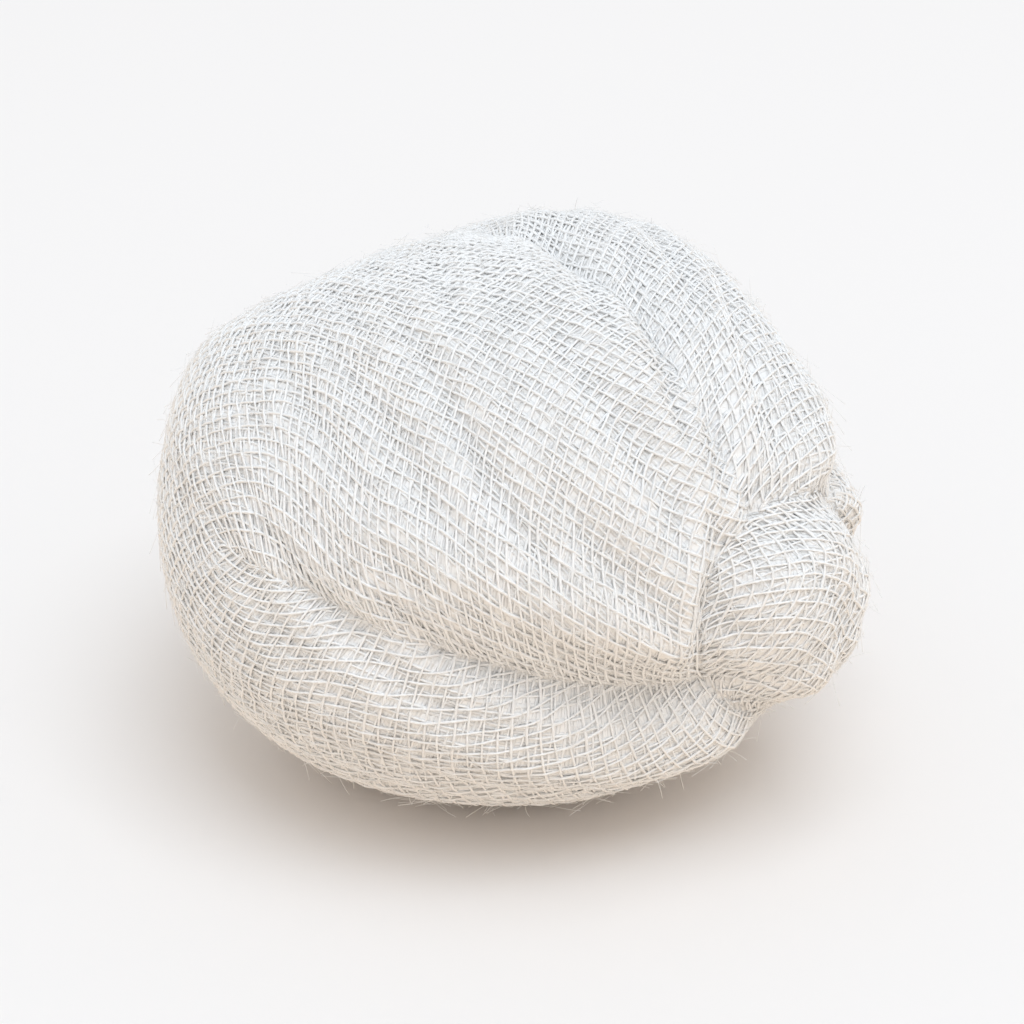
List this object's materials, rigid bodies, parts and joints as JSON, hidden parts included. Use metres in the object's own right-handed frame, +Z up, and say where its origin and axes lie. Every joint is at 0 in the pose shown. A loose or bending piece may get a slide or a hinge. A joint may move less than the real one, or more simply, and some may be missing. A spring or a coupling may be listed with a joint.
{
  "type": "gauze ball",
  "caption": "Soft ball of white dressing gauze, rolled up and turned in on itself, with a twisted tuck, a round knot and a pressed flat spot to lie on.",
  "frame": {"origin": "middle of the ball's box on the table, on the pressed flat spot", "axes": "+Z up from the table, the ball's shortest way; +X along its longest way, with the tuck facing +X and -Y"},
  "size_m": [0.0382, 0.035, 0.0294],
  "materials": {
    "gauze": "matte open-weave cotton"
  },
  "bodies": {
    "root": {"gauze_ball": "gauze"}
  },
  "joints": []
}
